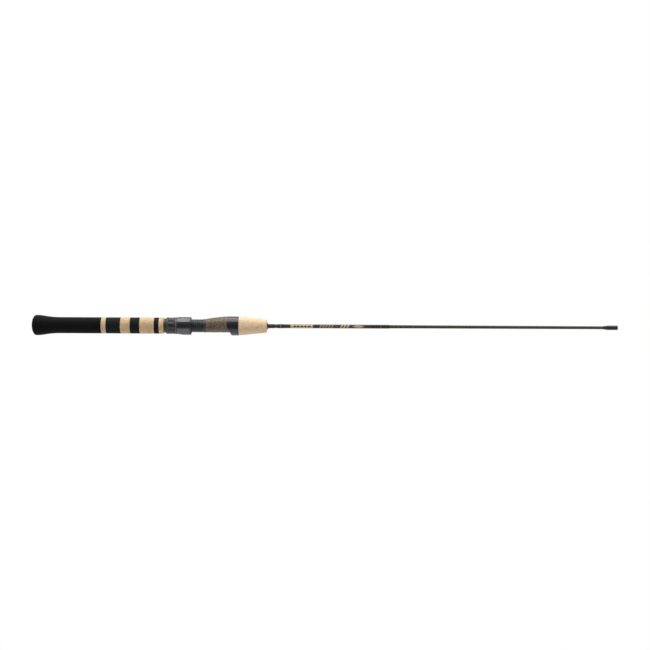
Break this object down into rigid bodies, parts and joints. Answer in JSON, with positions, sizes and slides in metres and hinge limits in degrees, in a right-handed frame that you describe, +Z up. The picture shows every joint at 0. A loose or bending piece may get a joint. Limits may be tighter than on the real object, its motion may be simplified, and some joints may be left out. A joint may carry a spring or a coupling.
{
  "type": "ice fishing rod",
  "caption": "Light spinning rod butt section with a screw-locking reel seat, cork and foam grips and a plug-in front ferrule.",
  "frame": {"origin": "centre of the butt's flat end, on the rod's axis", "axes": "+X along the rod from the butt to the front ferrule, +Z up; the reel foot pockets face -Z"},
  "size_m": [0.9144, 0.0318, 0.0318],
  "materials": {
    "eva_foam": "matte",
    "ring_cork": "matte",
    "foregrip_cork": "matte",
    "burl_cork": "satin",
    "seat_nylon": "satin",
    "nut_nylon": "satin",
    "spring_steel": "satin",
    "hood_metal": "gloss",
    "liner_plastic": "satin",
    "hood_gloss": "gloss",
    "trim_ring_gloss": "gloss",
    "arbor_foam": "matte",
    "blank_carbon": "gloss",
    "check_aluminium": "satin",
    "thread_epoxy": "gloss",
    "trim_thread": "satin",
    "label_coat": "gloss",
    "ferrule_epoxy": "gloss"
  },
  "bodies": {
    "rod": {"butt_grip": "eva_foam", "foam_ring_1": "eva_foam", "foam_ring_2": "eva_foam", "foam_ring_3": "eva_foam", "cork_ring_1": "ring_cork", "cork_ring_2": "ring_cork", "cork_ring_3": "ring_cork", "cork_ring_4": "ring_cork", "foregrip": "foregrip_cork", "seat_barrel": "seat_nylon", "seat_arbor_1": "arbor_foam", "seat_arbor_2": "arbor_foam", "seat_arbor_3": "arbor_foam", "burl_insert": "burl_cork", "fixed_hood": "hood_gloss", "hood_trim_ring": "trim_ring_gloss", "blank": "blank_carbon", "winding_check": "check_aluminium", "thread_wrap_1": "thread_epoxy", "thread_wrap_2": "thread_epoxy", "thread_wrap_3": "thread_epoxy", "trim_band_1": "trim_thread", "trim_band_2": "trim_thread", "trim_band_3": "trim_thread", "label_coat": "label_coat", "ferrule_wrap": "ferrule_epoxy", "ferrule_trim": "trim_thread", "ferrule_end_band": "ferrule_epoxy"},
    "hood": {"sliding_hood": "hood_metal", "sliding_hood_liner": "liner_plastic", "nut_retainer": "spring_steel"},
    "nut": {"lock_nut": "nut_nylon"}
  },
  "joints": [
    {"name": "hood_slide", "type": "slide", "parent": "rod", "child": "hood", "axis": [1, 0, 0], "range_m": [0, 0.02171]},
    {"name": "nut_turn", "type": "hinge", "parent": "hood", "child": "nut", "pos_m": [0.2175, 0, 0], "axis": [1, 0, 0], "range_deg": [0, 2520]}
  ],
  "couplings": [
    {"joint": "hood_slide", "follows": "nut_turn", "m_per_rad": 0.00049338}
  ]
}
